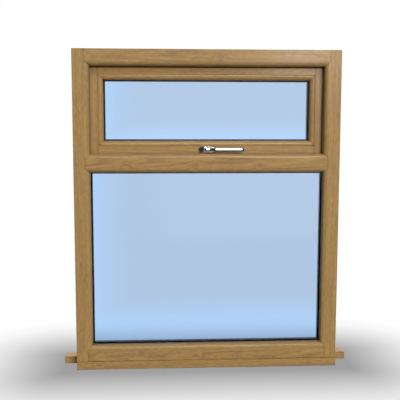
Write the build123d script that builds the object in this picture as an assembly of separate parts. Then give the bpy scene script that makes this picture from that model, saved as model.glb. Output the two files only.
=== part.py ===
from build123d import *
from math import asin, degrees, radians, sin
import os

# A stormproof timber window, seen from the room at azimuth 0.
# X runs to the right, Y runs out of the building and Z runs up.
# The origin is the middle of the sill's underside, at half the frame's depth.

# Frame
frame_width = 895.0
frame_height = 1055.0
frame_depth = 70.0
face_flat = 40.0            # plain width of a frame member, before its moulding
ovolo = 15.0                # radius of the moulding round every light
transom_flat = 33.0         # plain width of the transom, between its two mouldings
transom_fall = 4.0          # slope of the transom's top outside its stop
arris = 1.5                 # rounding of the long outer edges
upper_light = 290.0         # height of the upper light, between transom and head
sash_stop = 34.0            # thickness of the frame on the room side of the sash
glass_stop = 25.0           # thickness of the frame on the room side of the fixed glass
sash_rebate = 12.0          # width of the rebate that the sash shuts into

# Sill board
sill_depth = 144.0
sill_seat = 29.0            # thickness under the frame
sill_step = 4.0             # drop from the seat to the weathered top
sill_nose = 14.5            # thickness at the outer edge
sill_horn = 50.0            # length past the frame at each end
nose_round = 4.0
drip_width = 8.0
drip_depth = 5.0
drip_inset = 14.0           # from the outer edge to the drip groove

# Sash
sash_thickness = 57.0
sash_flat = 25.5            # plain width of a sash member that shows from the room
sash_gap = 3.0              # between the sash and the rebate, all round
seal_gap = 3.0              # between the sash and the frame's stop
lip_gap = 2.0               # between the sash's lip and the frame's outer face
lip_overlap = 9.0           # cover of the lip on the frame's outer face
lip_round = 3.0
sash_ovolo = 13.5           # radius of the sash's moulding
quirk = 1.2                 # from the sash's face back to the crown of its moulding
quirk_turn = 20.0           # degrees by which the moulding rounds back into its quirk
nib = 3.0                   # plain edge behind the sash's moulding
groove = 3.0                # side of the square groove in the back of the lip
groove_inset = 3.0          # from the lip's edge to the groove
seal_width = 6.0
seal_inset = 1.0            # from the sight line to the weather seal

# Glazing
pane = 4.0
cavity = 16.0
frame_bedding = 3.0         # thickness of the fixed light's gaskets
sash_bedding = 2.0          # thickness of the sash's gaskets
edge_gap = 3.0              # from the edge of the glass to the rebate
spacer_show = 4.0           # height of the spacer bar past the sight line
bead_setback = 2.0          # from the bead's face back from the timber's face
bead_slope = 3.0            # fall of the bead's inner edge
bead_land = 3.0             # plain edge of the bead beside the glass

# Handle
handle_x = 0.0              # axis of the spindle, from the middle of the window
handle_rise = 13.5          # axis of the spindle, above the transom's edge
base_length = 58.0
base_height = 21.0
base_thickness = 8.0
base_crown = 3.5            # how far the backplate's front falls back at its two ends
base_round = 2.5
hub_radius = 9.5
hub_length = 15.0
hub_gap = 0.3
hub_shoulder = 7.0          # radius of the rounded end of the hub
lever_length = 124.0        # from the spindle's axis to the tip
lever_height = 17.0         # width of the blade at its tip
lever_waist = 13.0          # width of the blade where it leaves the hub
lever_thickness = 9.0
lever_crown = 4.0           # how far the blade's front is rounded back at its edges
tip_round = 20.0            # radius by which the blade's front curls back towards its tip
tip_reach = 12.0            # length of the curled end
lever_rise = 22.0           # from the hub's back to the blade's front
crank_length = 20.5         # from the hub to where the blade runs straight
spindle_side = 7.0
spindle_depth = 24.0        # how far the spindle reaches into the sash
spindle_clearance = 0.6

# Hinges
hinge_inset = 150.0         # from the frame's edge to the middle of a hinge
hinge_length = 64.0
leaf_thickness = 2.5
leaf_height = 24.0
leaf_round = 4.0
sash_leaf_height = 38.0
knuckle_radius = 4.5
knuckle_gap = 0.3           # between neighbouring knuckles
knuckle_lift = 1.5          # from the lip's top edge to the knuckle
pin_radius = 2.2
pin_clearance = 0.05
pin_head = 1.2
pin_head_inset = 1.0        # from the knuckle's round to the pin head's

# Places worked out from the sizes
face_y = -frame_depth / 2
back_y = frame_depth / 2
edge_x = frame_width / 2
base_z = sill_seat
top_z = sill_seat + frame_height
sight = face_flat + ovolo
head_sight_z = top_z - sight
transom_top = head_sight_z - upper_light
transom_low = transom_top - 2 * ovolo - transom_flat
transom_core_top = transom_top - ovolo
transom_core_low = transom_low + ovolo
stop_y = face_y + sash_stop
glass_stop_y = face_y + glass_stop
unit = 2 * pane + cavity
overrun = 1.0               # how far a cutting shape runs past what it cuts

sash_y = stop_y + seal_gap
sash_back_y = sash_y + sash_thickness
lip_y = back_y + lip_gap
rebate_edge = sight - sash_rebate
tongue_edge = rebate_edge + sash_gap
lip_edge = rebate_edge - lip_overlap
sash_core = sight + sash_flat
quirk_reach = sash_ovolo * sin(radians(quirk_turn))
sash_cover = quirk_reach + sash_ovolo
sash_glass_y = sash_y + quirk + sash_ovolo + nib


def cut_mitres(bar, length, reach):
    """Cut both ends of a bar that lies along Z to 45 degrees, shortest at its far edge."""
    near = Polygon((0, 0), (reach, 0), (reach, reach), align=None)
    far = Polygon((0, length), (reach, length - reach), (reach, length), align=None)
    for wedge in (near, far):
        bar -= extrude(Plane.XZ * wedge, amount=sash_back_y + frame_depth, both=True)
    return bar


def bar_along(section, length, reach=0.0):
    """Extrude a section, drawn as width by depth, and mitre its ends where it has a reach."""
    bar = extrude(section, amount=length)
    return cut_mitres(bar, length, reach + overrun) if reach else bar


def put_left(bar, inset, low):
    """Stand a bar at the left, its near edge at an inset from the frame's edge."""
    return Pos(-edge_x + inset, 0, low) * bar


def put_right(bar, inset, low):
    """Stand a bar at the right, as the left one's mirror image."""
    return mirror(put_left(bar, inset, low), about=Plane.YZ)


def put_over(bar, start, height):
    """Lay a bar along X over a light, its width running down."""
    return Pos(start, 0, height) * Rot(0, 90, 0) * bar


def put_under(bar, start, height):
    """Lay a bar along X under a light, its width running up."""
    return Pos(-start, 0, height) * Rot(0, -90, 0) * bar


def block(left, right, front, back, low, high):
    """A plain block between six faces."""
    middle = Pos((left + right) / 2, (front + back) / 2, (low + high) / 2)
    return middle * Box(right - left, back - front, high - low)


def frame_moulding(stop, rebate):
    """Section of the moulded edge of a frame member, with its rebate behind the stop."""
    with BuildSketch() as section:
        with BuildLine():
            CenterArc((0, face_y + ovolo), ovolo, -90, 90)
            Polyline((ovolo, face_y + ovolo), (ovolo, stop), (ovolo - rebate, stop),
                     (ovolo - rebate, back_y), (0, back_y), (0, face_y))
        make_face()
    return section.sketch


def glass_moulding():
    """Section of the moulded edge round the fixed light: the rebate takes its whole width."""
    with BuildSketch() as section:
        with BuildLine():
            CenterArc((0, face_y + ovolo), ovolo, -90, 90)
            Polyline((ovolo, face_y + ovolo), (ovolo, glass_stop_y), (0, glass_stop_y), (0, face_y))
        make_face()
    return section.sketch


def ease(piece, axis, places):
    """Round the edges that run along an axis through the given places."""
    edges = piece.edges().filter_by(axis)
    chosen = [edges.sort_by_distance(place)[0] for place in places]
    return fillet(chosen, arris)


def make_frame():
    """Head, jambs, transom and bottom rail, with mitred mouldings and plain butted faces."""
    core_left = -edge_x + face_flat
    core_width = frame_width - 2 * face_flat
    upper_height = top_z - face_flat - transom_core_top
    lower_height = transom_core_low - base_z - face_flat
    upper = frame_moulding(stop_y, sash_rebate)
    lower = glass_moulding()

    jamb = block(0, face_flat, face_y, back_y, 0, frame_height)
    jamb = ease(jamb, Axis.Z, [(0, face_y, frame_height / 2), (0, back_y, frame_height / 2)])
    jamb += Pos(face_flat, 0, transom_core_top - base_z) * bar_along(upper, upper_height, ovolo)
    jamb += Pos(face_flat, 0, face_flat) * bar_along(lower, lower_height, ovolo)

    head = block(core_left, -core_left, face_y, back_y, top_z - face_flat, top_z)
    head = ease(head, Axis.X, [(0, face_y, top_z), (0, back_y, top_z)])
    head += put_over(bar_along(upper, core_width, ovolo), core_left, top_z - face_flat)

    transom = block(core_left, -core_left, face_y, back_y, transom_core_low, transom_core_top)
    transom += put_under(bar_along(upper, core_width, ovolo), core_left, transom_core_top)
    transom += put_over(bar_along(lower, core_width, ovolo), core_left, transom_core_low)
    ledge = transom_top - sash_rebate
    slope = make_face(Plane.YZ * Polyline((stop_y, ledge), (back_y, ledge), (back_y, ledge - transom_fall),
                                          close=True))
    transom -= extrude(slope, amount=edge_x, both=True)

    rail = block(core_left, -core_left, face_y, back_y, base_z, base_z + face_flat)
    rail = ease(rail, Axis.X, [(0, face_y, base_z)])
    rail += put_under(bar_along(lower, core_width, ovolo), core_left, base_z + face_flat)

    return {
        "frame_head": head,
        "frame_jamb_left": put_left(jamb, 0, base_z),
        "frame_jamb_right": put_right(jamb, 0, base_z),
        "frame_transom": transom,
        "frame_bottom_rail": rail,
    }


def make_sill():
    """Sill board: a level seat under the frame, then a weathered top with a horn at each end."""
    nose_y = face_y + sill_depth
    slope_top = sill_seat - sill_step
    with BuildSketch(Plane.YZ) as seat:
        with BuildLine():
            Polyline((face_y, 0), (back_y, 0), (back_y, sill_seat), (face_y, sill_seat), close=True)
        make_face()
        fillet(seat.vertices().group_by(Axis.Y)[0], arris)
    with BuildSketch(Plane.YZ) as board:
        with BuildLine():
            Polyline((back_y, 0), (nose_y, 0), (nose_y, sill_nose), (back_y, slope_top), close=True)
        make_face()
        fillet(board.vertices().group_by(Axis.X)[-1], nose_round)
    groove_y = nose_y - drip_inset - drip_width / 2
    horned = extrude(board.sketch, amount=edge_x + sill_horn, both=True)
    horned -= Pos(0, groove_y, 0) * Box(2 * (edge_x + sill_horn), drip_width, 2 * drip_depth)
    return {"sill_board": extrude(seat.sketch, amount=edge_x, both=True) + horned}


def ring(inset, width, front, back, low, high):
    """A plain rectangular ring, from an inset at the frame's edge, as wide as it says."""
    left = -edge_x + inset
    outer = block(left, -left, front, back, low, high)
    return outer - block(left + width, -left - width, front, back, low + width, high - width)


def bead_section(width, front, back):
    """Section of a glazing bead with a sloped inner edge."""
    with BuildSketch() as section:
        with BuildLine():
            Polyline((0, front), (width, front), (width, front + bead_land),
                     (width - bead_slope, back), (0, back), close=True)
        make_face()
    return section.sketch


def make_glazing(name, inset, width, low, high, glass_y, bedding, outer_y):
    """A sealed unit of two panes, its gaskets and its four beads, in a rebate of the given width."""
    left = -edge_x + inset
    inner_y = glass_y + bedding
    outer_pane_y = inner_y + pane + cavity
    bead_y = inner_y + unit + bedding
    bead_back = outer_y - bead_setback
    near = left + edge_gap
    glass_low = low + edge_gap
    glass_high = high - edge_gap
    cover = width - edge_gap
    section = bead_section(width, bead_y, bead_back)
    upright = bar_along(section, high - low, width)
    level = bar_along(section, -2 * left, width)
    span = (inset + edge_gap, cover)
    gaskets = ring(*span, glass_y, inner_y, glass_low, glass_high)
    gaskets += ring(*span, inner_y + unit, bead_y, glass_low, glass_high)
    return {
        name + "_inner_pane": block(near, -near, inner_y, inner_y + pane, glass_low, glass_high),
        name + "_outer_pane": block(near, -near, outer_pane_y, outer_pane_y + pane, glass_low, glass_high),
        name + "_spacer": ring(inset + edge_gap, cover + spacer_show, inner_y + pane, outer_pane_y,
                               glass_low, glass_high),
        name + "_gaskets": gaskets,
        name + "_bead_top": put_over(level, left, high),
        name + "_bead_bottom": put_under(level, left, low),
        name + "_bead_left": put_left(upright, inset, low),
        name + "_bead_right": put_right(upright, inset, low),
    }


def sash_section():
    """Section of a sash member without its moulding: the tongue, the body and the outer lip."""
    notch = lip_edge + groove_inset
    with BuildSketch() as section:
        with BuildLine():
            Polyline((tongue_edge, sash_y), (sash_core, sash_y), (sash_core, sash_back_y),
                     (lip_edge, sash_back_y), (lip_edge, lip_y), (notch, lip_y), (notch, lip_y + groove),
                     (notch + groove, lip_y + groove), (notch + groove, lip_y), (tongue_edge, lip_y),
                     close=True)
        make_face()
        fillet(section.vertices().sort_by_distance((lip_edge, sash_back_y))[0], lip_round)
        fillet(section.vertices().sort_by_distance((tongue_edge, sash_y))[0], arris)
    return section.sketch


def sash_moulding():
    """Section of the sash's quirked moulding: it rises out of the quirk, then rounds back to the glass."""
    centre = (quirk_reach, sash_y + quirk + sash_ovolo)
    with BuildSketch() as section:
        with BuildLine():
            swell = CenterArc(centre, sash_ovolo, -90 - quirk_turn, 90 + quirk_turn)
            Polyline(swell @ 1, (sash_cover, sash_glass_y), (0, sash_glass_y), swell @ 0)
        make_face()
    return section.sketch


def make_sash():
    """Stiles that run through and rails between them, with mitred mouldings."""
    low = transom_top - (sight - lip_edge)
    high = top_z - lip_edge
    tongue_notch = tongue_edge - lip_edge
    body = sash_core - lip_edge
    core_left = -edge_x + sash_core
    moulding = sash_moulding()
    section = sash_section()

    stile = extrude(section, amount=high - low)
    for end in (0, high - low - tongue_notch):
        stile -= block(0, sash_core, sash_y, lip_y, end, end + tongue_notch)
    stile += Pos(sash_core, 0, body) * bar_along(moulding, high - low - 2 * body, sash_cover)

    rail = extrude(section, amount=-2 * core_left)
    rail += Pos(sash_core, 0, 0) * bar_along(moulding, -2 * core_left, sash_cover)

    return {
        "sash_top_rail": put_over(rail, core_left, top_z),
        "sash_bottom_rail": put_under(rail, core_left, transom_top - sight) - spindle_bore(),
        "sash_stile_left": put_left(stile, 0, low),
        "sash_stile_right": put_right(stile, 0, low),
    }


def make_seal():
    """Weather seal between the frame's stop and the sash's face."""
    outer = sight - seal_inset - seal_width
    low = transom_top - seal_inset - seal_width
    return {"weather_seal": ring(outer, seal_width, stop_y, sash_y, low, top_z - outer)}


def at_handle(y):
    """The place on the handle's axis at a depth, with Z of the piece turned to face the room."""
    return Pos(handle_x, y, transom_top + handle_rise) * Rot(90, 0, 0)


def spindle_bore():
    """Round hole for the square spindle, through the backplate and into the sash."""
    radius = spindle_side / 2 * 2 ** 0.5 + spindle_clearance
    depth = spindle_depth + spindle_clearance
    return at_handle(sash_y) * Pos(0, 0, (base_thickness - depth) / 2) * Cylinder(radius, base_thickness + depth)


def lever_front():
    """The line that the lever's front follows: over the hub's end, up the neck and along the blade."""
    shoulder = (hub_shoulder - hub_radius - overrun / 2, hub_length - hub_shoulder)
    level_end = (hub_radius / 2, hub_length)
    blade_start = (hub_radius + crank_length, lever_rise)
    with BuildLine(Plane.XZ) as path:
        hub_end = CenterArc(shoulder, hub_shoulder, 180, -90)
        Line(hub_end @ 1, level_end)
        Spline(level_end, blade_start, tangents=((1, 0), (1, 0)))
        blade_end = Line(blade_start, (lever_length - tip_reach, lever_rise)) @ 1
        curl = degrees(asin((tip_reach + overrun) / tip_round))
        CenterArc((blade_end.X, blade_end.Z - tip_round), tip_round, 90, -curl)
    return path.line


def make_lever():
    """Hub, neck and blade of the lever, its front rounded across, with the hub's back at Z = 0."""
    tip = lever_height / 2
    neck_end = hub_radius + crank_length
    with BuildSketch() as outline:
        Circle(hub_radius)
        for near, radius, far, end_radius in ((0, lever_waist / 2, neck_end, lever_waist / 2),
                                              (neck_end, lever_waist / 2, lever_length - tip, tip)):
            with BuildSketch(mode=Mode.PRIVATE) as stretch:
                with Locations((near, 0)):
                    Circle(radius)
                with Locations((far, 0)):
                    Circle(end_radius)
                make_hull()
            add(stretch)
    lever = extrude(outline.sketch, amount=lever_rise)

    path = lever_front()
    crown = (tip ** 2 + lever_crown ** 2) / (2 * lever_crown)
    above = lever_rise / 2
    with BuildSketch(Plane(path @ 0, x_dir=(0, 1, 0), z_dir=path % 0)) as waste:
        with Locations((0, (above - crown) / 2)):
            Rectangle(2 * hub_radius + overrun, above + crown)
        with Locations((0, -crown)):
            Circle(crown, mode=Mode.SUBTRACT)
    lever -= sweep(waste.sketch, path=path)

    under = lever_rise - lever_thickness
    with BuildSketch(Plane.XZ) as relief:
        with BuildLine():
            Spline((hub_radius, 0), (neck_end, under), tangents=((0, 1), (1, 0)))
            Polyline((neck_end, under), (lever_length + overrun, under), (lever_length + overrun, 0),
                     (hub_radius, 0))
        make_face()
    return lever - extrude(relief.sketch, amount=hub_radius + lever_height, both=True)


def make_backplate():
    """Backplate with round ends, its front arched along its length."""
    arch = ((base_length / 2) ** 2 + base_crown ** 2) / (2 * base_crown)
    plate = extrude(SlotOverall(base_length, base_height), amount=base_thickness)
    plate &= Pos(0, 0, base_thickness - arch) * Rot(90, 0, 0) * Cylinder(arch, base_length)
    front = plate.faces().sort_by(Axis.Z)[-1]
    return fillet(front.edges(), base_round)


def make_handle():
    """Backplate, turning lever and square spindle."""
    base = at_handle(sash_y) * make_backplate() - spindle_bore()

    hub_y = sash_y - base_thickness - hub_gap
    bar_length = spindle_depth + base_thickness + hub_gap
    bar = at_handle(hub_y) * Pos(0, 0, -bar_length / 2) * Box(spindle_side, spindle_side, bar_length)
    return {"handle_base": base, "handle_lever": at_handle(hub_y) * make_lever(), "handle_spindle": bar}


def make_hinge(side, middle):
    """Cranked hinge on the outside: a frame leaf, a sash leaf and a pin through three knuckles."""
    lip_top = top_z - lip_edge
    axis_z = lip_top + knuckle_lift + knuckle_radius
    axis_y = sash_back_y + leaf_thickness - knuckle_radius / 2
    third = hinge_length / 3
    low_x = middle - hinge_length / 2
    along_x = Pos(middle, axis_y, axis_z) * Rot(0, 90, 0)
    bore = along_x * Cylinder(pin_radius + pin_clearance, hinge_length + 2 * overrun)
    barrel = along_x * Cylinder(knuckle_radius, hinge_length)
    centre = block(low_x + third + knuckle_gap, low_x + 2 * third - knuckle_gap,
                   back_y, axis_y + knuckle_radius, lip_top, top_z)
    ends = block(low_x, low_x + third, back_y, axis_y + knuckle_radius, 0, top_z)
    ends += block(low_x + 2 * third, low_x + hinge_length, back_y, axis_y + knuckle_radius, 0, top_z)

    shelf = axis_z + knuckle_radius - leaf_thickness
    frame_leaf = block(low_x, low_x + hinge_length, back_y, back_y + leaf_thickness, shelf, shelf + leaf_height)
    frame_leaf = fillet(frame_leaf.edges().filter_by(Axis.Y).group_by(Axis.Z)[-1], leaf_round)
    crank = block(low_x, low_x + hinge_length, back_y, axis_y, shelf, shelf + leaf_thickness)
    frame_leaf += crank & centre
    frame_leaf += (barrel & centre)
    frame_leaf -= bore

    sash_leaf = block(low_x, low_x + hinge_length, sash_back_y, sash_back_y + leaf_thickness,
                      lip_top - sash_leaf_height, lip_top - leaf_thickness)
    sash_leaf = fillet(sash_leaf.edges().filter_by(Axis.Y).group_by(Axis.Z)[0], leaf_round)
    tabs = block(low_x, low_x + hinge_length, sash_back_y, sash_back_y + leaf_thickness,
                 lip_top - leaf_thickness, axis_z)
    sash_leaf += tabs & ends
    sash_leaf += (barrel & ends)
    sash_leaf -= bore

    pin = along_x * Cylinder(pin_radius, hinge_length)
    for end in (-1, 1):
        head = Pos(0, 0, end * (hinge_length + pin_head) / 2) * Cylinder(knuckle_radius - pin_head_inset, pin_head)
        pin += along_x * head
    name = "hinge_" + side
    return {name + "_frame_leaf": frame_leaf, name + "_sash_leaf": sash_leaf, name + "_pin": pin}


def make_window():
    """Every piece of the window by its name."""
    pieces = {}
    pieces.update(make_frame())
    pieces.update(make_sill())
    pieces.update(make_glazing("lower", face_flat, ovolo, base_z + face_flat, transom_core_low,
                               glass_stop_y, frame_bedding, back_y))
    pieces.update(make_sash())
    pieces.update(make_glazing("sash", sash_core, sash_cover, transom_top + sash_flat, top_z - sash_core,
                               sash_glass_y, sash_bedding, sash_back_y))
    pieces.update(make_seal())
    pieces.update(make_handle())
    pieces.update(make_hinge("left", -edge_x + hinge_inset))
    pieces.update(make_hinge("right", edge_x - hinge_inset))
    return pieces


os.makedirs("parts", exist_ok=True)
for node, piece in make_window().items():
    export_step(piece, f"parts/{node}.step")
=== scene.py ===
import math

import bmesh
import bpy
from mathutils import Euler, Matrix, Vector


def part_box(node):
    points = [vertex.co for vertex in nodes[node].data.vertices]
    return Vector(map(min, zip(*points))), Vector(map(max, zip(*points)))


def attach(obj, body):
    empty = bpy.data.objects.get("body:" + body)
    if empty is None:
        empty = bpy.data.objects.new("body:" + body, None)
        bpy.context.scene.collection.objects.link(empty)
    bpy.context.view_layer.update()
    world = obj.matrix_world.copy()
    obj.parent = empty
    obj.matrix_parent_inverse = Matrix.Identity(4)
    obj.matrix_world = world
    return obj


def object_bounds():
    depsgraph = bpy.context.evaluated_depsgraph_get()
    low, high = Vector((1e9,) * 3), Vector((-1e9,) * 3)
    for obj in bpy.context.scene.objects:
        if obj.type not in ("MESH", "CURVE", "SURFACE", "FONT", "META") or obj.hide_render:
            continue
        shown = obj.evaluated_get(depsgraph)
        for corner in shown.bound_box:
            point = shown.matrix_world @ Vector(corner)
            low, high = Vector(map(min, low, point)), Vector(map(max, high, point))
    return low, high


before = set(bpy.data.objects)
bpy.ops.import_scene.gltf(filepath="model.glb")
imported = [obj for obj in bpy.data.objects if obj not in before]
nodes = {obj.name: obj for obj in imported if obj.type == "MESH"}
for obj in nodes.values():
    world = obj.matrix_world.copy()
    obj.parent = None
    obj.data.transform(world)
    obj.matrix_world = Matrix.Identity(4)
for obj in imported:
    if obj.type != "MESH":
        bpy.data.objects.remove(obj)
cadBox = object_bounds()
scene = bpy.context.scene
print("frame loaded:", len(nodes), "pieces")


# Small helpers for building shader trees

def addNode(tree, kind, **settings):
    made = tree.nodes.new(kind)
    for key, value in settings.items():
        setattr(made, key, value)
    return made


def feed(tree, socket, value):
    # a socket is linked, anything else is set as the input's own value
    if isinstance(value, bpy.types.NodeSocket):
        tree.links.new(value, socket)
    else:
        socket.default_value = value


def sums(tree, operation, first, second=0.0, third=0.0):
    made = addNode(tree, "ShaderNodeMath", operation=operation)
    for socket, value in zip(made.inputs, (first, second, third)):
        feed(tree, socket, value)
    return made.outputs[0]


def addShare(tree, value, middle, share, total):
    # adds a share of how far a value lies from its middle
    return sums(tree, "MULTIPLY_ADD", sums(tree, "SUBTRACT", value, middle), share, total)


def vectorSums(tree, operation, first, second=(0, 0, 0)):
    made = addNode(tree, "ShaderNodeVectorMath", operation=operation)
    feed(tree, made.inputs[0], first)
    feed(tree, made.inputs[1], second)
    return made.outputs["Value" if operation == "LENGTH" else "Vector"]


def splitVector(tree, vector):
    made = addNode(tree, "ShaderNodeSeparateXYZ")
    feed(tree, made.inputs[0], vector)
    return made.outputs


def joinVector(tree, x, y, z):
    made = addNode(tree, "ShaderNodeCombineXYZ")
    for socket, value in zip(made.inputs, (x, y, z)):
        feed(tree, socket, value)
    return made.outputs[0]


def noise(tree, vector, stretch, detail=2.0, roughness=0.5, output=0):
    # stretch is in noise cells per metre along each axis
    made = addNode(tree, "ShaderNodeTexNoise")
    feed(tree, made.inputs["Vector"], vectorSums(tree, "MULTIPLY", vector, stretch))
    made.inputs["Scale"].default_value = 1.0
    made.inputs["Detail"].default_value = detail
    made.inputs["Roughness"].default_value = roughness
    return made.outputs[output]


def remap(tree, value, low, high, start=0.0, end=1.0, smooth=True):
    made = addNode(tree, "ShaderNodeMapRange")
    made.interpolation_type = "SMOOTHSTEP" if smooth else "LINEAR"
    for socket, given in zip(made.inputs, (value, low, high, start, end)):
        feed(tree, socket, given)
    return made.outputs[0]


def ramp(tree, value, stops):
    made = addNode(tree, "ShaderNodeValToRGB")
    feed(tree, made.inputs[0], value)
    band = made.color_ramp
    while len(band.elements) < len(stops):
        band.elements.new(1.0)
    for element, (spot, colour) in zip(band.elements, stops):
        element.position = spot
        element.color = (*colour, 1.0) if isinstance(colour, tuple) else (colour, colour, colour, 1.0)
    return made.outputs[0]


def blendColours(tree, factor, first, second, kind="MIX"):
    made = addNode(tree, "ShaderNodeMix", data_type="RGBA", blend_type=kind)
    feed(tree, made.inputs[0], factor)
    for socket, value in ((made.inputs[6], first), (made.inputs[7], second)):
        feed(tree, socket, (*value, 1.0) if isinstance(value, tuple) and len(value) == 3 else value)
    return made.outputs[2]


def newGroup(name, inputs, outputs):
    tree = bpy.data.node_groups.new(name, "ShaderNodeTree")
    for socketName, start in inputs.items():
        kind = "NodeSocketVector" if isinstance(start, tuple) else "NodeSocketFloat"
        made = tree.interface.new_socket(socketName, in_out="INPUT", socket_type=kind)
        made.default_value = start
    for socketName, kind in outputs.items():
        tree.interface.new_socket(socketName, in_out="OUTPUT", socket_type="NodeSocket" + kind)
    return tree, addNode(tree, "NodeGroupInput"), addNode(tree, "NodeGroupOutput")


def useGroup(tree, group, **values):
    made = addNode(tree, "ShaderNodeGroup", node_tree=group)
    for key, value in values.items():
        feed(tree, made.inputs[key.replace("_", " ")], value)
    return made.outputs


def newMaterial(name, **settings):
    # a material with its Principled shader, whose plain settings are given by name
    made = bpy.data.materials.new(name)
    made.use_nodes = True
    tree = made.node_tree
    shader = tree.nodes["Principled BSDF"]
    for key, value in settings.items():
        shader.inputs[key.replace("_", " ")].default_value = value
    place = addNode(tree, "ShaderNodeTexCoord").outputs["Object"]
    return made, tree, shader, place


def addRelief(tree, shader, height, strength, depth):
    made = addNode(tree, "ShaderNodeBump")
    made.inputs["Strength"].default_value = strength
    made.inputs["Distance"].default_value = depth
    feed(tree, made.inputs["Height"], height)
    tree.links.new(made.outputs["Normal"], shader.inputs["Normal"])


def raySeen(tree, path):
    # 1 where a ray comes straight from the viewer or through glass
    return sums(tree, "MAXIMUM", path.outputs["Is Camera Ray"], path.outputs["Is Transmission Ray"])


# Oak grain. It runs along Z, so each noise is stretched by two numbers across the grain and one along it.
grainNoise = {
    "wander": (9, 9, 1.3), "fibre": (1300, 1300, 20), "streak": (125, 125, 2.6), "drift": (26, 26, 1.1),
    "mottle": (150, 150, 60), "pore": (2100, 2100, 150), "ray": (330, 75, 60),
}
grainLook = {
    "sway": 0.016,                                  # how far the rings wander, in metres
    "ringProfile": [(0.0, 0.22), (0.16, 0.1), (0.45, 0.7), (0.9, 1.0), (1.0, 0.22)],
    "ringMiddle": 0.6, "ringLeast": 0.35, "ringShare": 0.34,
    "streakShare": 0.72, "fibreShare": 0.75, "mottleShare": 0.62,
    "poreEdges": (0.58, 0.72), "poreMost": 1.15, "poreShare": -0.22,
    "rayEdges": (0.62, 0.74), "rayShare": 0.12,
    "colours": [(0.12, (0.110, 0.043, 0.002)), (0.34, (0.196, 0.095, 0.010)), (0.52, (0.262, 0.138, 0.018)),
                (0.72, (0.324, 0.180, 0.031)), (0.95, (0.405, 0.243, 0.058))],
    "red": {"edges": (0.46, 0.66), "share": 0.5, "tint": (1.06, 0.86, 0.62)},
    "olive": {"edges": (0.46, 0.30), "share": 0.55, "tint": (0.93, 0.985, 0.86)},
    "roughLeast": 0.33, "roughFibre": 0.14, "roughPore": 0.25,
    "fibreHeight": 0.45, "poreHeight": -0.9, "ringHeight": 0.25,
}


def buildOakGrain():
    # growth rings round the heart, with fibres, streaks, pores and rays
    look = grainLook
    tree, start, end = newGroup(
        "oakGrain",
        {"Vector": (0.0, 0.0, 0.0), "Ring Width": 0.003, "Figure": 1.0},
        {"Colour": "Color", "Roughness": "Float", "Height": "Float"})
    given = start.outputs["Vector"]

    wander = noise(tree, given, grainNoise["wander"], detail=2, output=1)
    wander = vectorSums(tree, "SUBTRACT", wander, (0.5, 0.5, 0.5))
    wander = vectorSums(tree, "MULTIPLY", wander, (look["sway"], look["sway"], 0))
    spot = vectorSums(tree, "ADD", given, wander)
    across, inward, along = splitVector(tree, spot)
    radius = vectorSums(tree, "LENGTH", vectorSums(tree, "MULTIPLY", spot, (1, 1, 0)))
    angle = sums(tree, "ARCTAN2", inward, across)

    turns = sums(tree, "DIVIDE", radius, start.outputs["Ring Width"])
    ring = ramp(tree, sums(tree, "FRACT", turns), look["ringProfile"])
    eachRing = addNode(tree, "ShaderNodeTexWhiteNoise", noise_dimensions="1D")
    feed(tree, eachRing.inputs["W"], sums(tree, "FLOOR", turns))

    fibre = noise(tree, spot, grainNoise["fibre"], detail=3, roughness=0.6)
    streak = noise(tree, spot, grainNoise["streak"], detail=4, roughness=0.6)
    drift = noise(tree, given, grainNoise["drift"], detail=2)
    mottle = noise(tree, given, grainNoise["mottle"], detail=3)
    pores = remap(tree, noise(tree, spot, grainNoise["pore"], detail=1), *look["poreEdges"])
    openPores = sums(tree, "MULTIPLY", pores, sums(tree, "SUBTRACT", look["poreMost"], ring))
    rayPlace = joinVector(tree, angle, radius, along)
    rays = remap(tree, noise(tree, rayPlace, grainNoise["ray"], detail=1), *look["rayEdges"])

    ringStrength = sums(tree, "ADD", eachRing.outputs[0], look["ringLeast"])
    value = sums(tree, "MULTIPLY", sums(tree, "SUBTRACT", ring, look["ringMiddle"]), ringStrength)
    value = sums(tree, "MULTIPLY", value, look["ringShare"])
    value = addShare(tree, streak, 0.5, look["streakShare"], value)
    value = addShare(tree, fibre, 0.5, look["fibreShare"], value)
    value = addShare(tree, mottle, 0.5, look["mottleShare"], value)
    value = sums(tree, "MULTIPLY", value, start.outputs["Figure"])
    value = sums(tree, "MULTIPLY_ADD", openPores, look["poreShare"], value)
    value = sums(tree, "MULTIPLY_ADD", rays, look["rayShare"], value)
    value = sums(tree, "ADD", value, 0.5)
    colour = ramp(tree, value, look["colours"])
    for cast in (look["red"], look["olive"]):
        share = sums(tree, "MULTIPLY", remap(tree, drift, *cast["edges"]), cast["share"])
        colour = blendColours(tree, share, colour, cast["tint"], "MULTIPLY")

    rough = sums(tree, "MULTIPLY_ADD", fibre, look["roughFibre"], look["roughLeast"])
    rough = sums(tree, "MULTIPLY_ADD", openPores, look["roughPore"], rough)
    height = sums(tree, "MULTIPLY", fibre, look["fibreHeight"])
    height = sums(tree, "MULTIPLY_ADD", openPores, look["poreHeight"], height)
    height = sums(tree, "MULTIPLY_ADD", ring, look["ringHeight"], height)
    tree.links.new(colour, end.inputs["Colour"])
    tree.links.new(rough, end.inputs["Roughness"])
    tree.links.new(height, end.inputs["Height"])
    return tree


# Knots. Edges are where the ragged dark heart ends and where it is full, in knot radii.
knotLook = {"squash": (1, 1, 0.5), "fade": 0.72, "push": 1.1, "ragged": (260, 260, 260), "raggedShare": 0.9,
            "edges": (1.75, 1.05), "share": 0.85, "colour": (0.120, 0.046, 0.010)}


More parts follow.
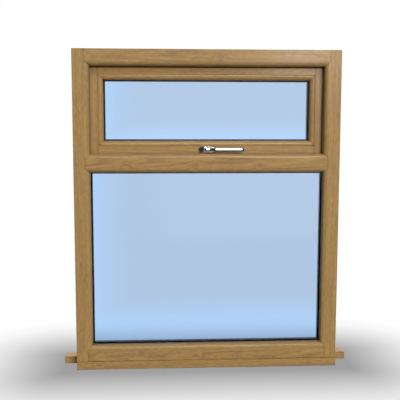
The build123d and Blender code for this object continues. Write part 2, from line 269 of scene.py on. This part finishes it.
def buildKnot():
    # a small round knot, with the grain flowing round it
    tree, start, end = newGroup(
        "oakKnot",
        {"Vector": (0.0, 0.0, 0.0), "Centre": (0.0, 0.0, 0.0), "Radius": 0.006},
        {"Vector": "Vector", "Mask": "Float"})
    away = vectorSums(tree, "SUBTRACT", start.outputs["Vector"], start.outputs["Centre"])
    away = vectorSums(tree, "MULTIPLY", away, knotLook["squash"])
    reach = sums(tree, "DIVIDE", vectorSums(tree, "LENGTH", away), start.outputs["Radius"])
    near = sums(tree, "POWER", knotLook["fade"], sums(tree, "MULTIPLY", reach, reach))
    push = sums(tree, "MULTIPLY", near, sums(tree, "MULTIPLY", start.outputs["Radius"], knotLook["push"]))
    moved = vectorSums(tree, "ADD", start.outputs["Vector"], joinVector(tree, push, push, 0.0))
    ragged = noise(tree, away, knotLook["ragged"], detail=2)
    ragged = sums(tree, "MULTIPLY_ADD", ragged, knotLook["raggedShare"], reach)
    tree.links.new(moved, end.inputs["Vector"])
    tree.links.new(remap(tree, ragged, *knotLook["edges"]), end.inputs["Mask"])
    return tree


# Painted shade in corners and paler edges, partly wear and partly painted highlight. Each pair is the
# openness at which the mask starts and is full.
cornerLook = {"samples": 6, "paintedShade": (0.95, 0.35), "edge": (0.45, 0.85), "edgeReach": 0.25}


def buildCornerShade():
    # how deep a point sits in a corner or a groove, and how open an outer edge is: masks for painted shade
    # and for paler edges
    tree, start, end = newGroup("cornerShade", {"Reach": 0.012}, {"PaintedShadeMask": "Float", "WornEdgeHighlight": "Float"})
    around = addNode(tree, "ShaderNodeAmbientOcclusion", samples=cornerLook["samples"])
    feed(tree, around.inputs["Distance"], start.outputs["Reach"])
    tree.links.new(remap(tree, around.outputs["AO"], *cornerLook["paintedShade"]), end.inputs["PaintedShadeMask"])
    within = addNode(tree, "ShaderNodeAmbientOcclusion", samples=cornerLook["samples"],
                     inside=True, only_local=True)
    edgeReach = sums(tree, "MULTIPLY", start.outputs["Reach"], cornerLook["edgeReach"])
    feed(tree, within.inputs["Distance"], edgeReach)
    tree.links.new(remap(tree, within.outputs["AO"], *cornerLook["edge"]), end.inputs["WornEdgeHighlight"])
    return tree


handlingNoise = {"cloud": (38, 38, 38), "rub": (120, 900, 900)}


def buildHandling():
    # faint cloudy marks and fine rubbing on metal
    tree, start, end = newGroup("handling", {"Vector": (0.0, 0.0, 0.0)}, {"Marks": "Float"})
    cloud = noise(tree, start.outputs["Vector"], handlingNoise["cloud"], detail=3, roughness=0.6)
    rub = noise(tree, start.outputs["Vector"], handlingNoise["rub"], detail=2)
    tree.links.new(sums(tree, "MULTIPLY", cloud, rub), end.inputs["Marks"])
    return tree


oakGrain = buildOakGrain()
oakKnot = buildKnot()
cornerShade = buildCornerShade()
handling = buildHandling()
print("shared effects built")


# Timber. Heart is where the middle of the tree lies from the member's middle, across, in depth and along.
# Lean is how far the tree's line is off the member's, in degrees. Painted shade is the share of shade painted
# into corners.
# Tone brightens or darkens a whole member: partly its own timber colour and partly painted light that evens
# out how lit it looks.
timber = {
    "frame_head": {"along": "X", "heart": (0.012, 0.105, 0.31), "lean": (0.9, 0.5), "toneAndPaintedLight": 0.935},
    "frame_jamb_left": {"along": "Z", "heart": (0.150, 0.080, 0.10), "lean": (0.5, 0.7), "toneAndPaintedLight": 1.0},
    "frame_jamb_right": {"along": "Z", "heart": (-0.085, 0.120, 0.55), "lean": (0.8, -0.6), "toneAndPaintedLight": 1.0},
    "frame_transom": {"along": "X", "heart": (0.008, 0.090, 0.82), "lean": (-1.1, 0.3), "toneAndPaintedLight": 0.91},
    "frame_bottom_rail": {"along": "X", "heart": (-0.020, 0.100, 1.27), "lean": (1.3, -0.4), "toneAndPaintedLight": 0.92},
    "sill_board": {"along": "X", "heart": (0.060, -0.020, 1.61), "lean": (0.4, 1.0), "toneAndPaintedLight": 0.97,
                   "paintedShade": 0.3},
    "sash_top_rail": {"along": "X", "heart": (0.070, 0.120, 2.10), "lean": (0.6, 0.8), "toneAndPaintedLight": 1.13},
    "sash_bottom_rail": {"along": "X", "heart": (-0.030, 0.110, 2.46), "lean": (-0.7, 0.4), "toneAndPaintedLight": 0.95},
    "sash_stile_left": {"along": "Z", "heart": (0.120, 0.070, 2.93), "lean": (0.8, 0.5), "toneAndPaintedLight": 0.93},
    "sash_stile_right": {"along": "Z", "heart": (-0.100, 0.090, 3.30), "lean": (0.4, -0.9), "toneAndPaintedLight": 0.8},
}
bead = {"across": 0.060, "acrossStep": 0.015, "depth": 0.070, "along": {"lower": 4.0, "sash": 6.0},
        "alongStep": 0.43, "lean": (0.5, 0.6), "toneAndPaintedLight": 0.98}
for unitName, alongStart in bead["along"].items():
    for step, side in enumerate(("top", "bottom", "left", "right")):
        heartX = bead["across"] + bead["acrossStep"] * step
        heartZ = alongStart + bead["alongStep"] * step
        timber[f"{unitName}_bead_{side}"] = {
            "along": "X" if side in ("top", "bottom") else "Z",
            "heart": (heartX, bead["depth"], heartZ), "lean": bead["lean"], "toneAndPaintedLight": bead["toneAndPaintedLight"]}

# Knots by member: place across the window and up it, and radius, in metres, on the face to the room
knots = {
    "frame_head": [(0.042, 1.060, 0.0052)],
    "sash_top_rail": [(0.093, 1.010, 0.0042)],
    "frame_jamb_left": [(-0.428, 0.363, 0.0055), (-0.415, 0.310, 0.0035)],
    "frame_bottom_rail": [(-0.226, 0.055, 0.0052), (-0.040, 0.0426, 0.0050), (0.104, 0.040, 0.0050)],
    "frame_transom": [(-0.275, 0.703, 0.0055), (-0.041, 0.702, 0.0058), (0.176, 0.7005, 0.0058)],
    "sill_board": [(-0.370, 0.015, 0.0052), (0.351, 0.0135, 0.0058)],
}
oakFinish = {
    "ringWidth": 0.0034, "figure": 1.45, "coat": 0.08, "coatRoughness": 0.25, "shine": 0.17,
    "relief": 0.5, "reliefDepth": 0.00022,
    "shadeReach": 0.018, "paintedShade": 0.85, "paintedShadeTint": (0.24, 0.165, 0.11),
    "edge": 0.35, "wornEdgeHighlightColour": (0.50, 0.355, 0.19),
}


def oakFor(name, member):
    made, tree, shader, place = newMaterial(
        "oak_" + name, Coat_Weight=oakFinish["coat"], Coat_Roughness=oakFinish["coatRoughness"],
        Specular_IOR_Level=oakFinish["shine"])
    low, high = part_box(name)
    middle = (low + high) / 2
    turn = Euler((0, math.radians(-90), 0)).to_matrix() if member["along"] == "X" else Matrix.Identity(3)
    leanX, leanY = (math.radians(angle) for angle in member["lean"])
    turn = Euler((leanX, leanY, 0)).to_matrix() @ turn
    heart = Vector(member["heart"])
    mapping = addNode(tree, "ShaderNodeMapping")
    feed(tree, mapping.inputs["Vector"], place)
    mapping.inputs["Rotation"].default_value = turn.to_euler("XYZ")
    mapping.inputs["Location"].default_value = heart - turn @ middle

    spot = mapping.outputs["Vector"]
    masks = []
    for knotX, knotZ, radius in knots.get(name, []):
        centre = turn @ (Vector((knotX, low.y, knotZ)) - middle) + heart
        knot = useGroup(tree, oakKnot, Vector=spot, Centre=centre, Radius=radius)
        spot = knot["Vector"]
        masks.append(knot["Mask"])
    grain = useGroup(tree, oakGrain, Vector=spot, Ring_Width=oakFinish["ringWidth"],
                     Figure=oakFinish["figure"])
    colour = grain["Colour"]
    for mask in masks:
        share = sums(tree, "MULTIPLY", mask, knotLook["share"])
        colour = blendColours(tree, share, colour, knotLook["colour"])
    # tone: the member's own colour and partly painted light
    colour = blendColours(tree, 1.0, colour, (member["toneAndPaintedLight"],) * 3, "MULTIPLY")
    # painted shade: corners and grooves are darkened towards a brown tint where shade would fall
    shade = useGroup(tree, cornerShade, Reach=oakFinish["shadeReach"])
    paintedShade = sums(tree, "MULTIPLY", shade["PaintedShadeMask"], member.get("paintedShade", oakFinish["paintedShade"]))
    colour = blendColours(tree, paintedShade, colour, oakFinish["paintedShadeTint"], "MULTIPLY")
    # paler outer edges: partly wear and partly a painted highlight where light catches the arris
    edge = sums(tree, "MULTIPLY", shade["WornEdgeHighlight"], oakFinish["edge"])
    colour = blendColours(tree, edge, colour, oakFinish["wornEdgeHighlightColour"])
    tree.links.new(colour, shader.inputs["Base Color"])
    tree.links.new(grain["Roughness"], shader.inputs["Roughness"])
    addRelief(tree, shader, grain["Height"], oakFinish["relief"], oakFinish["reliefDepth"])
    return made


def dress(name, material):
    piece = nodes[name]
    piece.data.materials.clear()
    piece.data.materials.append(material)


for name, member in timber.items():
    dress(name, oakFor(name, member))
print("timber finished:", len(timber), "members")


# Glass: a pale blue tint with painted light, turning clearer and bluer towards the foot and the left edge of
# each light.
# Fade is where that starts and is full, in shares of the pane's height. Edge is in metres from its left side.
glassTint = {"upper": (0.663, 0.765, 0.890), "paintedLightFoot": (0.672, 0.822, 0.995), "ior": 1.45,
             "fade": {"sash": (0.42, 0.05), "lower": (0.30, 0.11)}, "edge": (0.22, -0.02)}


def glassFor(name, low, high, fade):
    made, tree, shader, place = newMaterial(
        name, Transmission_Weight=1.0, Roughness=0.0, IOR=glassTint["ior"])
    across, _, upward = splitVector(tree, place)
    reach = high.z - low.z
    # painted light: the pane is painted clearer and bluer towards its foot and its left edge
    paintedLightFoot = remap(tree, upward, low.z + fade[0] * reach, low.z + fade[1] * reach)
    edge = remap(tree, across, low.x + glassTint["edge"][0], low.x + glassTint["edge"][1])
    clear = sums(tree, "MAXIMUM", paintedLightFoot, sums(tree, "MULTIPLY", edge, edge))
    tint = blendColours(tree, clear, glassTint["upper"], glassTint["paintedLightFoot"])
    tree.links.new(tint, shader.inputs["Base Color"])
    return made


for unitName, fade in glassTint["fade"].items():
    low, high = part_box(unitName + "_inner_pane")
    glass = glassFor("glass_" + unitName, low, high, fade)
    dress(unitName + "_inner_pane", glass)
    dress(unitName + "_outer_pane", glass)
print("glass finished")


# Spacer bars, gaskets and the weather seal. Grain is in noise cells per metre.
spacer = {"colour": (0.010, 0.015, 0.030), "roughness": 0.5, "grain": 700}
gasket = {"colour": (0.020, 0.019, 0.018), "roughness": 0.62, "grain": 1500}
rubberLook = {"darker": 0.55, "spread": 0.2, "relief": 0.3, "reliefDepth": 0.0001}


def rubberFor(name, rubber):
    made, tree, shader, place = newMaterial(name, Roughness=rubber["roughness"])
    speck = noise(tree, place, (rubber["grain"],) * 3, detail=2)
    dark = tuple(rubberLook["darker"] * value for value in rubber["colour"])
    tree.links.new(blendColours(tree, speck, dark, rubber["colour"]), shader.inputs["Base Color"])
    least = rubber["roughness"] - rubberLook["spread"] / 2
    feed(tree, shader.inputs["Roughness"], sums(tree, "MULTIPLY_ADD", speck, rubberLook["spread"], least))
    addRelief(tree, shader, speck, rubberLook["relief"], rubberLook["reliefDepth"])
    return made


spacerBlack = rubberFor("spacer_black", spacer)
gasketRubber = rubberFor("gasket_rubber", gasket)
for unitName in ("lower", "sash"):
    dress(unitName + "_spacer", spacerBlack)
    dress(unitName + "_gaskets", gasketRubber)
dress("weather_seal", gasketRubber)
print("spacers, gaskets and seal finished")


# Metal. Marks are the share of the rubbing in its roughness; the corner shade share is painted shade,
# darkening its corners towards a duller tone.
handleFinish = {"colour": (0.86, 0.865, 0.87), "roughness": 0.05, "marks": 0.14, "cornerShadeShare": 0.6}
hingeFinish = {"colour": (0.62, 0.62, 0.60), "roughness": 0.24, "marks": 0.5, "cornerShadeShare": 0.7}
metalLook = {"shadeReach": 0.004, "darker": 0.35, "relief": 0.12, "reliefDepth": 0.00005}


def metalFor(name, metal):
    made, tree, shader, place = newMaterial(name, Metallic=1.0)
    marks = useGroup(tree, handling, Vector=place)["Marks"]
    rough = sums(tree, "MULTIPLY_ADD", marks, metal["marks"], metal["roughness"])
    feed(tree, shader.inputs["Roughness"], rough)
    # painted shade: the metal is darkened in its corners where shade would fall
    shade = useGroup(tree, cornerShade, Reach=metalLook["shadeReach"])
    shadedMetal = tuple(metalLook["darker"] * value for value in metal["colour"])
    paintedCornerShade = sums(tree, "MULTIPLY", shade["PaintedShadeMask"], metal["cornerShadeShare"])
    tree.links.new(blendColours(tree, paintedCornerShade, metal["colour"], shadedMetal), shader.inputs["Base Color"])
    addRelief(tree, shader, marks, metalLook["relief"], metalLook["reliefDepth"])
    return made


chrome = metalFor("handle_chrome", handleFinish)
steel = metalFor("hinge_steel", hingeFinish)
for name in ("handle_base", "handle_lever"):
    dress(name, chrome)
dress("handle_spindle", steel)
for side in ("left", "right"):
    for part in ("frame_leaf", "sash_leaf", "pin"):
        dress(f"hinge_{side}_{part}", steel)
print("fittings finished")


def newObject(name, bm, material):
    mesh = bpy.data.meshes.new(name)
    bm.to_mesh(mesh)
    bm.free()
    mesh.materials.append(material)
    made = bpy.data.objects.new(name, mesh)
    scene.collection.objects.link(made)
    return made


# Screws in the hinge leaves. A screw's head is raised and has a cross recess.
# Places are across from the middle of the leaf, then up from the frame leaf's lower edge or down from the
# sash leaf's bend. Turns are the first screw's and the step to each next, in degrees.
screw = {"radius": 0.0033, "sides": 24, "rise": 0.0009, "slot": 0.0007, "arm": 0.0021, "recess": 0.0006}
leaf = {"thickness": 0.0025, "frameHeight": 0.024, "sashBend": 0.0355}
frameScrews = {"places": ((-0.022, 0.017), (0.0, 0.013), (0.022, 0.017)), "turns": (17, 41)}
sashScrews = {"places": ((-0.022, 0.010), (0.022, 0.010), (-0.010, 0.024), (0.010, 0.024)), "turns": (8, 37)}


def makeScrew(bm, x, y, z, turn):
    # the axis lies along Y and the head faces out
    part = bmesh.new()
    bmesh.ops.create_circle(part, cap_ends=True, radius=screw["radius"], segments=screw["sides"])
    raised = bmesh.ops.extrude_face_region(part, geom=part.faces[:])
    top = [item for item in raised["geom"] if isinstance(item, bmesh.types.BMVert)]
    bmesh.ops.translate(part, verts=top, vec=(0, 0, screw["rise"]))
    for distance in (screw["slot"], screw["arm"]):
        for normal in (Vector((1, 0, 0)), Vector((0, 1, 0))):
            for way in (-1, 1):
                faces = [face for face in part.faces if face.normal.z > 0.5]
                near = faces + list({edge for face in faces for edge in face.edges})
                near += list({vert for face in faces for vert in face.verts})
                bmesh.ops.bisect_plane(part, geom=near, plane_co=normal * distance * way, plane_no=normal)
    part.normal_update()
    cross = []
    for face in part.faces:
        centre = face.calc_center_median()
        across, along = sorted((abs(centre.x), abs(centre.y)))
        if face.normal.z > 0.5 and across < screw["slot"] and along < screw["arm"]:
            cross.append(face)
    sunk = bmesh.ops.extrude_face_region(part, geom=cross)
    bottom = [item for item in sunk["geom"] if isinstance(item, bmesh.types.BMVert)]
    bmesh.ops.translate(part, verts=bottom, vec=(0, 0, -screw["recess"]))
    bmesh.ops.delete(part, geom=cross, context="FACES")
    bmesh.ops.recalc_face_normals(part, faces=part.faces)
    for angle, axis in ((turn, "Z"), (-90, "X")):
        spin = Matrix.Rotation(math.radians(angle), 3, axis)
        bmesh.ops.rotate(part, verts=part.verts, cent=(0, 0, 0), matrix=spin)
    bmesh.ops.translate(part, verts=part.verts, vec=(x, y, z))
    loose = bpy.data.meshes.new("loose")
    part.to_mesh(loose)
    part.free()
    bm.from_mesh(loose)
    bpy.data.meshes.remove(loose)


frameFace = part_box("frame_head")[1].y + leaf["thickness"]
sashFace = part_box("sash_top_rail")[1].y + leaf["thickness"]
for side in ("left", "right"):
    bm = bmesh.new()
    low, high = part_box(f"hinge_{side}_frame_leaf")
    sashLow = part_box(f"hinge_{side}_sash_leaf")[0]
    middleX = (low.x + high.x) / 2
    turnStart, turnStep = frameScrews["turns"]
    for step, (offset, rise) in enumerate(frameScrews["places"]):
        z = high.z - leaf["frameHeight"] + rise
        makeScrew(bm, middleX + offset, frameFace, z, turnStart + turnStep * step)
    turnStart, turnStep = sashScrews["turns"]
    for step, (offset, drop) in enumerate(sashScrews["places"]):
        z = sashLow.z + leaf["sashBend"] - drop
        makeScrew(bm, middleX + offset, sashFace, z, turnStart + turnStep * step)
    screws = newObject(f"hinge_{side}_screws", bm, steel)
    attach(screws, "window")
print("screws made")


# Reflections show a strip of paper in front of the window. Its sides are slopes to the left and the right,
# each where the paper starts and where it is full.
stripSides = ((-0.17, 0.05), (0.50, 0.25))

# Floor: white paper with a painted soft shadow round the foot of the window. The painted shadow runs from the
# foot to the reach.
floorLook = {"half": 30.0, "roughness": 0.9, "reach": 0.47, "ahead": 0.033, "bounce": 0.03,
             "shade": [(0.0, 0.35), (0.25, 0.55), (0.5, 0.765), (0.75, 0.93), (1.0, 1.0)],
             "dapple": (2.5, 2.5, 2.5), "dappleShare": 0.02, "stripFrom": (2.2, 3.2), "nearest": 0.1}


def floorPaper():
    made, tree, shader, place = newMaterial("floor_pale", Roughness=floorLook["roughness"])
    low, high = cadBox
    front = low.y - floorLook["ahead"]
    away = vectorSums(tree, "SUBTRACT", place, ((low.x + high.x) / 2, (front + high.y) / 2, 0))
    halves = ((high.x - low.x) / 2, (high.y - front) / 2, 0)
    away = vectorSums(tree, "SUBTRACT", vectorSums(tree, "ABSOLUTE", away), halves)
    away = vectorSums(tree, "MULTIPLY", vectorSums(tree, "MAXIMUM", away, (0, 0, 0)), (1, 1, 0))
    # painted shadow: the paper darkens with nearness to the window's footprint
    share = remap(tree, vectorSums(tree, "LENGTH", away), 0.0, floorLook["reach"], smooth=False)
    dapple = noise(tree, place, floorLook["dapple"], detail=3)
    share = addShare(tree, dapple, 0.5, floorLook["dappleShare"], share)
    paintedShadowPaper = ramp(tree, share, floorLook["shade"])
    lit = blendColours(tree, 1.0, paintedShadowPaper, (floorLook["bounce"],) * 3, "MULTIPLY")
    tree.links.new(lit, shader.inputs["Base Color"])
    paper = addNode(tree, "ShaderNodeEmission")
    feed(tree, paper.inputs["Color"], paintedShadowPaper)

    across, inward, _ = splitVector(tree, place)
    forward = sums(tree, "MULTIPLY", inward, -1.0)
    slope = sums(tree, "DIVIDE", across, sums(tree, "MAXIMUM", forward, floorLook["nearest"]))
    path = addNode(tree, "ShaderNodeLightPath")
    strip = remap(tree, forward, *floorLook["stripFrom"])
    mirrored = sums(tree, "MULTIPLY", path.outputs["Is Glossy Ray"], strip)
    for side in stripSides:
        mirrored = sums(tree, "MULTIPLY", mirrored, remap(tree, slope, *side))
    either = addNode(tree, "ShaderNodeMixShader")
    feed(tree, either.inputs[0], sums(tree, "MAXIMUM", raySeen(tree, path), mirrored))
    tree.links.new(shader.outputs[0], either.inputs[1])
    tree.links.new(paper.outputs[0], either.inputs[2])
    tree.links.new(either.outputs[0], tree.nodes["Material Output"].inputs["Surface"])
    return made


bm = bmesh.new()
bmesh.ops.create_grid(bm, x_segments=1, y_segments=1, size=floorLook["half"])
floor = newObject("floor", bm, floorPaper())
print("floor laid")


# Light: a white studio seen behind the window, a low even glow on it, and what the reflections show.
# The last two pairs are where the mirrored ceiling and the mirrored back wall start and are full.
sky = {"behind": 1.0, "below": 0.02, "level": 0.08, "above": 0.10,
       "mirrorFront": 1.0, "mirrorAbove": 0.3, "mirrorSide": 0.012, "mirrorBack": 0.75,
       "aboveFrom": (0.35, 0.8), "backFrom": (-0.05, 0.25)}
world = bpy.data.worlds.new("studio")
scene.world = world
world.use_nodes = True
tree = world.node_tree
across, inward, upward = splitVector(tree, addNode(tree, "ShaderNodeTexCoord").outputs["Generated"])
glow = ramp(tree, sums(tree, "MULTIPLY_ADD", upward, 0.5, 0.5),
            [(0.0, sky["below"]), (0.5, sky["level"]), (1.0, sky["above"])])
leftSide, rightSide = (remap(tree, across, *side) for side in stripSides)
strip = sums(tree, "MULTIPLY", leftSide, rightSide)
mirror = remap(tree, strip, 0.0, 1.0, sky["mirrorSide"], sky["mirrorFront"], smooth=False)
mirror = remap(tree, upward, *sky["aboveFrom"], mirror, sky["mirrorAbove"])
mirror = remap(tree, inward, *sky["backFrom"], mirror, sky["mirrorBack"])
path = addNode(tree, "ShaderNodeLightPath")
light = blendColours(tree, path.outputs["Is Glossy Ray"], glow, mirror)
light = blendColours(tree, raySeen(tree, path), light, (sky["behind"],) * 3)
tree.links.new(light, tree.nodes["Background"].inputs["Color"])

# Lamps stand in a direction from their aim: turned to its right, raised, and a distance away.
# Sheen is the small lamp that makes the right end of the head paler.
middle = (cadBox[0] + cadBox[1]) / 2
headEnd = Vector((0.33, cadBox[0].y, 1.05))
lamps = {
    "key": {"aim": middle, "right": 17.0, "up": 11.5, "away": 14.0, "size": (5.0, 2.6), "power": 1480.0,
            "colour": (1.0, 0.99, 0.97), "only": "diffuse"},
    "high": {"aim": middle, "right": 6.0, "up": 46.0, "away": 14.0, "size": (4.0, 4.0), "power": 760.0,
             "colour": (1.0, 0.99, 0.97), "only": "diffuse"},
    "glint": {"aim": middle, "right": 4.0, "up": 34.0, "away": 6.0, "size": (1.6, 0.6), "power": 270.0,
              "colour": (1.0, 1.0, 1.0), "only": "glossy"},
    "sheen": {"aim": headEnd, "right": 11.0, "up": 8.0, "away": 0.9, "size": (0.2, 0.2), "power": 5.0,
              "colour": (1.0, 1.0, 1.0), "only": "glossy"},
    "left": {"aim": middle, "right": -112.0, "up": 28.0, "away": 8.0, "size": (3.0, 3.0), "power": 330.0,
             "colour": (1.0, 0.99, 0.97), "only": "diffuse"},
    "back": {"aim": middle, "right": 160.0, "up": 35.0, "away": 6.0, "size": (3.0, 3.0), "power": 420.0,
             "colour": (1.0, 0.99, 0.97), "only": "diffuse"},
}
for name, lamp in lamps.items():
    light = bpy.data.lights.new(name, "AREA")
    light.shape = "RECTANGLE"
    light.size, light.size_y = lamp["size"]
    light.energy = lamp["power"]
    light.color = lamp["colour"]
    holder = bpy.data.objects.new(name, light)
    turn = Euler((math.radians(-lamp["up"]), 0, math.radians(lamp["right"]))).to_matrix()
    holder.location = lamp["aim"] + turn @ Vector((0, -lamp["away"], 0))
    holder.rotation_euler = (lamp["aim"] - holder.location).to_track_quat("-Z", "Y").to_euler()
    holder.visible_camera = False
    holder.visible_transmission = False
    holder.visible_glossy = lamp["only"] == "glossy"
    holder.visible_diffuse = lamp["only"] == "diffuse"
    scene.collection.objects.link(holder)
print("studio lit")


# Camera, as the photograph was taken: its place in metres, its angles in degrees, and its focal length in
# the photograph's pixels
shot = {"place": (-0.154, -2.345, 0.839), "down": 6.28, "right": 3.16, "roll": -0.07,
        "focal": 691.0, "image": 400.0, "sensor": 36.0}
cameraData = bpy.data.cameras.new("camera")
cameraData.sensor_width = shot["sensor"]
cameraData.lens = shot["focal"] / shot["image"] * cameraData.sensor_width
camera = bpy.data.objects.new("camera", cameraData)
camera.location = shot["place"]
tilt = 90 - shot["down"]
camera.rotation_euler = [math.radians(angle) for angle in (tilt, shot["roll"], -shot["right"])]
scene.collection.objects.link(camera)
scene.camera = camera
scene.view_settings.view_transform = "Standard"
scene.view_settings.look = "None"
